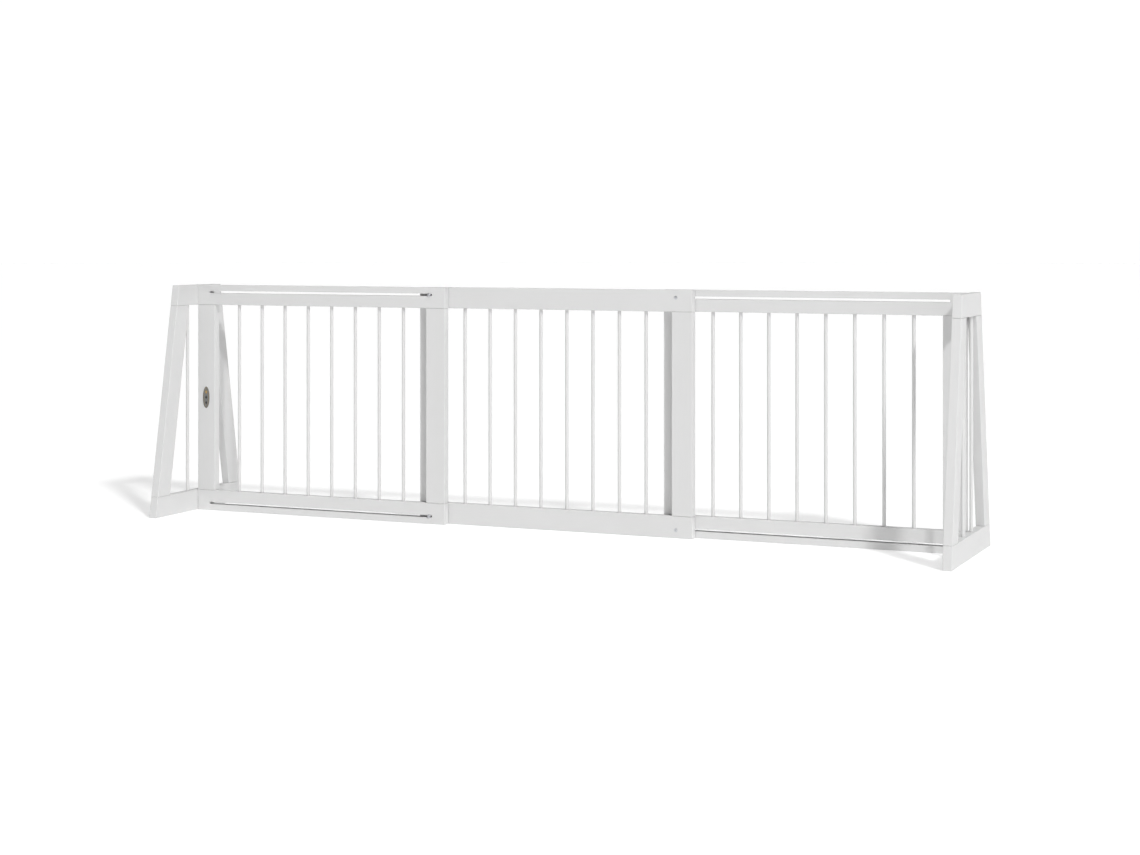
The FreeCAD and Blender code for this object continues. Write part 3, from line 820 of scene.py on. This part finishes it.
def make_nuts(steel, nylon):
    low, high = solids_of("slide_nuts")[0]
    height = high.y - low.y
    width = min(high.x - low.x, high.z - low.z)
    install_on_axes(lock_nut(width, height), "slide_nuts", "zinc_steel",
                    lower_and_upper("lock_nut"), 0, steel)
    grip = soft_ring("grip_ring", GRIP_OUTER, GRIP_INNER, 0, GRIP_HEIGHT * height, 0.15 * MM)
    install_on_axes(grip, "slide_nuts", "spacer_nylon", lower_and_upper("nut_ring"),
                    GRIP_START * height, nylon)


# ---------------------------------------------------------------- dowels

DOWEL_SIDES = 40
FLUTE_SPACING = TAU / (DOWEL_SIDES / 2)     # every other side has a flute
FLUTE_DEPTH = 0.22 * MM


def fluted_dowel(radius, length):
    """A chamfered wooden pin with pressed flutes along its sides, for glue."""
    dowel = cylinder("dowel", radius, -length / 2, length / 2, sides=DOWEL_SIDES)
    open_edges(dowel, lambda edge: abs(abs(middle_of(edge).z) - length / 2) < TOUCHING)
    bevel(0.8 * MM, 1)
    close()
    open_faces(dowel, is_flute)
    bpy.ops.mesh.inset(thickness=0.08 * MM, depth=-FLUTE_DEPTH, use_individual=True)
    close()
    tidy_mesh(dowel)
    smooth(dowel, 30)
    return dowel


def is_flute(face):
    """Every other long side of a dowel."""
    if abs(face.normal.z) > 0.1:
        return False
    turn = math.atan2(face.normal.y, face.normal.x) / FLUTE_SPACING
    return abs(turn - round(turn)) < 0.3


def make_dowels():
    """The hidden pins in every board joint, in the CAD dowels' places."""
    beech = raw_beech("beech_pins", (1, 1, FIBRE_STRETCH))
    low, high = solids_of("front_section_dowels")[0]
    model = fluted_dowel(min(high - low) / 2, max(high - low))
    for section in ("front", "middle", "rear"):
        node = f"{section}_section_dowels"
        pins = [lay_dowel(model, low, high) for low, high in solids_of(node)]
        select_only(pins[0])
        for pin in pins:
            pin.select_set(True)
        bpy.ops.object.join()
        pins[0].name = f"{section}_dowel_pins"
        install(pins[0], node, "dowel_wood", beech)
    bpy.data.objects.remove(model)


def lay_dowel(model, low, high):
    """A copy of the pin in one CAD dowel's place, upright or along the gate."""
    size = high - low
    turn = (0, math.pi / 2, 0) if size.x > size.z else (0, 0, 0)
    return put(copy_of(model, "pin"), (low + high) / 2, turn)


# ---------------------------------------------------------------- oval plate

PLATE_RIM = 1.5 * MM
PLATE_RECESS = 0.5 * MM
LINE_GAP = 0.7 * MM
LINE_WIDTH = 0.5 * MM
LINE_HEIGHT = 0.3 * MM
# A diamond's half sizes, and the spacing of the three, as parts of the oval's half sizes.
DIAMOND_WIDTH = 0.46
DIAMOND_HEIGHT = 0.25
DIAMOND_SPACING = 0.5
DIAMOND_TOP = 0.45           # size of a diamond's flat top, as a part of its foot
DIAMOND_RISE = 0.35 * MM


def push_in(thickness, depth):
    """Insets the selected face and then moves it along Z."""
    bpy.ops.mesh.inset(thickness=thickness, depth=0)
    bpy.ops.mesh.extrude_region_move(TRANSFORM_OT_translate={"value": (0, 0, depth)})


def oval_blank(half_width, half_height, thickness):
    """An oval with a raised rim, a recessed field and a thin raised line inside the rim."""
    plate = cylinder("name_plate_oval", 1, 0, thickness, sides=120)
    plate.scale = (half_width, half_height, 1)
    set_in_mesh(plate)
    open_faces(plate, facing_up)
    push_in(PLATE_RIM, -PLATE_RECESS)
    push_in(LINE_GAP, LINE_HEIGHT)
    push_in(LINE_WIDTH, -LINE_HEIGHT)
    close()
    soften(plate, 0.12 * MM, 2, 50)
    return plate


def diamond(middle_y, half_width, half_height, low, high):
    """A four-sided block with sloping sides."""
    bpy.ops.object.select_all(action="DESELECT")
    bpy.ops.mesh.primitive_cone_add(vertices=4, radius1=1, radius2=DIAMOND_TOP, depth=high - low,
                                    location=(0, middle_y, (low + high) / 2))
    block = bpy.context.active_object
    block.name = "diamond"
    block.scale = (half_width, half_height, 1)
    set_in_mesh(block)
    return block


def make_plate():
    """A plain oval plate with a chain of three diamonds, the top one gold-coloured."""
    low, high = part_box("name_plate")
    half_width = (high.x - low.x) / 2
    half_height = (high.z - low.z) / 2
    thickness = high.y - low.y
    field = thickness - PLATE_RECESS
    plate = oval_blank(half_width, half_height, thickness)
    spacing = DIAMOND_SPACING * half_height
    for index in (-1, 0, 1):
        block = diamond(index * spacing, DIAMOND_WIDTH * half_width, DIAMOND_HEIGHT * half_height,
                        field - OVERLAP, field + DIAMOND_RISE)
        combine(plate, block, "UNION")
    tidy_mesh(plate)
    smooth(plate)
    gild(plate, field, spacing, half_width, half_height)
    middle = (low + high) / 2
    put(plate, (middle.x, high.y, middle.z), FORWARDS)
    levels = (high.y - field, low.y)
    pewter = satin_cast("pewter", PEWTER_RIM, PEWTER, *levels, 0.36)
    gold = satin_cast("gold_colour", GOLD, GOLD_SHADE, *levels, 0.3)
    black = satin_cast("blackened_pewter", BLACKENED, PEWTER_RIM, *levels, 0.4)
    install(plate, "name_plate", "plate_pewter", pewter, gold, black)


def gild(plate, field, spacing, half_width, half_height):
    """Gives the thin line and the top diamond the second material, and the others the third."""
    for _ in range(3):
        plate.data.materials.append(None)
    rim_end = PLATE_RIM + 0.6 * LINE_GAP
    for face in plate.data.polygons:
        spot = face.center
        on_rim = is_outside_oval(spot, half_width - rim_end, half_height - rim_end)
        on_field = spot.z < field + 0.02 * MM
        if on_rim or on_field:
            continue
        is_black = any(is_on_diamond(spot, index * spacing, half_width, half_height)
                       for index in (-1, 0))
        face.material_index = 2 if is_black else 1


def is_outside_oval(spot, half_width, half_height):
    return (spot.x / half_width) ** 2 + (spot.y / half_height) ** 2 > 1


def is_on_diamond(spot, middle_y, half_width, half_height):
    across = abs(spot.x) / (DIAMOND_WIDTH * half_width)
    along = abs(spot.y - middle_y) / (DIAMOND_HEIGHT * half_height)
    margin = 0.02
    return across + along < 1 + margin


# ---------------------------------------------------------------- studio

CAMERA_SPOT = (2.3874, -5.3346, 0.8517)
CAMERA_TURN = 0.411          # radians to the left of looking along +Y
CAMERA_LENS = 63.94          # millimetres, like the sensor's width
CAMERA_SENSOR = 36
CAMERA_DROP = -0.168         # shift of the level camera's frame, as a part of its width
GATE_MIDDLE = Vector((0, 0, 0.35))
FLOOR_RADIUS = 60
FLOOR_GLOW = 0.34
FLOOR_LIGHT = colour(0.71, 0.71, 0.71)
FLOOR_DARK = colour(0.69, 0.69, 0.69)
SKY_STRENGTH = 1.5
HORIZON_TONE = 0.68
OVERHEAD_TONE = 0.88
# Where the sky's bands end, as the sine of the height above the horizon.
HORIZON_BAND = 0.13
DARK_FROM = 0.155
DARK_TO = 0.72
PANEL_FROM = 0.78


def make_camera():
    data = bpy.data.cameras.new("camera")
    data.lens = CAMERA_LENS
    data.sensor_width = CAMERA_SENSOR
    data.shift_y = CAMERA_DROP
    data.clip_end = 200
    camera = bpy.data.objects.new("camera", data)
    camera.location = CAMERA_SPOT
    camera.rotation_euler = (math.pi / 2, 0, CAMERA_TURN)
    bpy.context.scene.collection.objects.link(camera)
    bpy.context.scene.camera = camera


def make_floor():
    """A wide white disc that glows a little, so that it's as bright as the sky behind it."""
    bpy.ops.object.select_all(action="DESELECT")
    bpy.ops.mesh.primitive_circle_add(vertices=128, radius=FLOOR_RADIUS, fill_type="NGON",
                                      location=(0, 0, 0))
    floor = bpy.context.active_object
    floor.name = "studio_floor"
    finish = Finish("floor_white", Roughness=0.9, Specular_IOR_Level=0.1)
    tone = finish.noise(finish.place(), scale=3, detail=2, roughness=0.5)
    finish.set("Base Color", finish.blend(tone, FLOOR_DARK, FLOOR_LIGHT))
    finish.surface.inputs["Emission Color"].default_value = colour(1, 1, 1)
    finish.surface.inputs["Emission Strength"].default_value = FLOOR_GLOW
    coat(floor, finish.material)


def make_sky():
    """White at the horizon, dark above it, and a wide soft panel overhead."""
    world = bpy.data.worlds.new("studio")
    bpy.context.scene.world = world
    world.use_nodes = True
    tree = world.node_tree
    way = tree.nodes.new("ShaderNodeTexCoord")
    split = tree.nodes.new("ShaderNodeSeparateXYZ")
    ramp = tree.nodes.new("ShaderNodeValToRGB")
    white = colour(HORIZON_TONE, HORIZON_TONE, HORIZON_TONE)
    black = colour(0, 0, 0)
    panel = colour(OVERHEAD_TONE, OVERHEAD_TONE, OVERHEAD_TONE)
    fill_ramp(ramp.color_ramp, [(0.0, white), (HORIZON_BAND, white), (DARK_FROM, black),
                                (DARK_TO, black), (PANEL_FROM, panel)])
    background = tree.nodes["Background"]
    background.inputs["Strength"].default_value = SKY_STRENGTH
    tree.links.new(way.outputs["Generated"], split.inputs[0])
    tree.links.new(split.outputs["Z"], ramp.inputs["Fac"])
    tree.links.new(ramp.outputs["Color"], background.inputs["Color"])


def direction(azimuth, elevation):
    """Points towards a light, with the azimuth from the front towards +X."""
    turn = math.radians(azimuth)
    rise = math.radians(elevation)
    level = math.cos(rise)
    return Vector((math.sin(turn) * level, -math.cos(turn) * level, math.sin(rise)))


def add_light(name, kind, way, distance, energy, **settings):
    """A light at a distance from the gate's middle, turned towards it."""
    data = bpy.data.lights.new(name, kind)
    data.energy = energy
    for setting, value in settings.items():
        setattr(data, setting, value)
    light = bpy.data.objects.new(name, data)
    light.location = GATE_MIDDLE + way * distance
    light.rotation_euler = way.to_track_quat("Z", "Y").to_euler()
    bpy.context.scene.collection.objects.link(light)


def make_lights():
    """A far soft key from the right, and a nearer panel beside it that favours the right end."""
    add_light("key", "SUN", direction(azimuth=50, elevation=39), distance=10, energy=1.87,
              angle=math.radians(5.5))
    add_light("near_panel", "AREA", direction(azimuth=40, elevation=27), distance=4.1, energy=18,
              size=2.5)


paint_the_boards()
make_slide_hardware()
make_dowels()
make_plate()
make_camera()
make_floor()
make_sky()
make_lights()
bpy.context.scene.view_settings.view_transform = "Standard"
